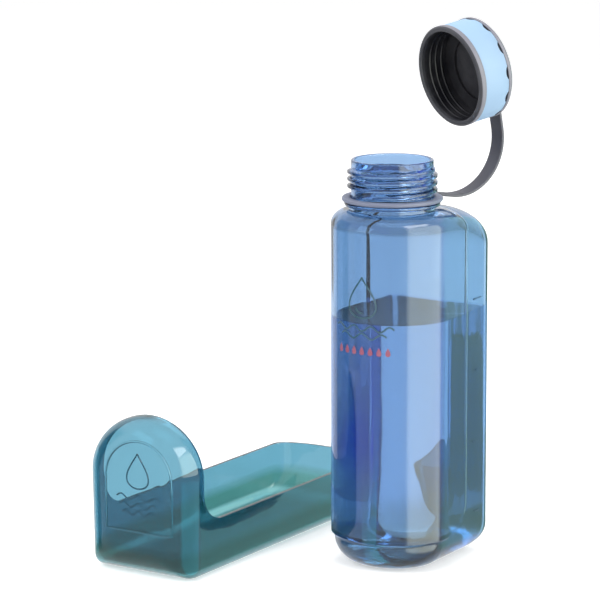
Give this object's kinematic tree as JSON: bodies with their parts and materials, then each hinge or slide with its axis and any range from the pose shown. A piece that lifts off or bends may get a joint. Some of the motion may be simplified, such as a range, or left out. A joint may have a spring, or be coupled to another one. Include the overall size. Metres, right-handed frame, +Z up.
{
  "type": "dog travel water bottle",
  "caption": "Travel water bottle for a dog: D-shaped clear body, screw cap on a flexible tether, and a clear drinking bowl that docks over the base and back of the body.",
  "frame": {"origin": "on the flat base of the bottle, under the axis of its neck", "axes": "+Z up along the neck, -Y towards the round front of the body, +Y towards its flat back, +X to the right seen from the front; the bowl stands at -X"},
  "size_m": [0.1972, 0.216, 0.3185],
  "materials": {
    "bottle_clear_blue": "clear tinted copolyester, glossy",
    "bowl_clear_teal": "clear tinted copolyester, glossy",
    "cap_grey": "fine matt moulded",
    "grip_light_blue": "soft-touch overmould",
    "seal_dark": "smooth silicone",
    "strap_grey": "satin flexible strap"
  },
  "bodies": {
    "bottle": {"bottle": "bottle_clear_blue"},
    "neck_ring": {"tether_neck_ring": "strap_grey"},
    "strap_lower": {"tether_strap_lower": "strap_grey"},
    "strap_upper": {"tether_strap_upper": "strap_grey"},
    "cap_loop": {"tether_cap_loop": "strap_grey"},
    "cap": {"cap_shell": "cap_grey", "cap_grip_band": "grip_light_blue", "cap_seal": "seal_dark"},
    "bowl": {"bowl": "bowl_clear_teal"}
  },
  "joints": [
    {"name": "tether_swivel", "type": "hinge", "parent": "bottle", "child": "neck_ring", "pos_m": [0, 0, 0.21725], "axis": [0, 0, 1], "continuous": true},
    {"name": "strap_root_flex", "type": "hinge", "parent": "neck_ring", "child": "strap_lower", "pos_m": [0.01259, 0.0304, 0.2167], "axis": [0.9239, -0.3827, 0], "range_deg": [-8, 42], "stiffness_Nm_per_rad": 0.06, "springref_deg": 2.12},
    {"name": "strap_mid_flex", "type": "hinge", "parent": "strap_lower", "child": "strap_upper", "pos_m": [0.02761, 0.06664, 0.22934], "axis": [0.9239, -0.3827, 0], "range_deg": [-3, 12]},
    {"name": "strap_top_flex", "type": "hinge", "parent": "strap_upper", "child": "cap_loop", "pos_m": [0.02888, 0.06971, 0.25892], "axis": [0.9239, -0.3827, 0], "range_deg": [-5.2, 26.3]},
    {"name": "cap_spin", "type": "hinge", "parent": "cap_loop", "child": "cap", "pos_m": [0.02672, 0.0645, 0.29011], "axis": [0.3766, 0.9091, 0.1779], "continuous": true},
    {"name": "bowl_lift", "type": "slide", "parent": "bottle", "child": "bowl", "axis": [0, 0, 1], "range_m": [0, 0.06]}
  ],
  "couplings": [
    {"joint": "strap_mid_flex", "follows": "strap_root_flex", "ratio": 0.2771},
    {"joint": "strap_top_flex", "follows": "strap_root_flex", "ratio": 0.6199}
  ]
}
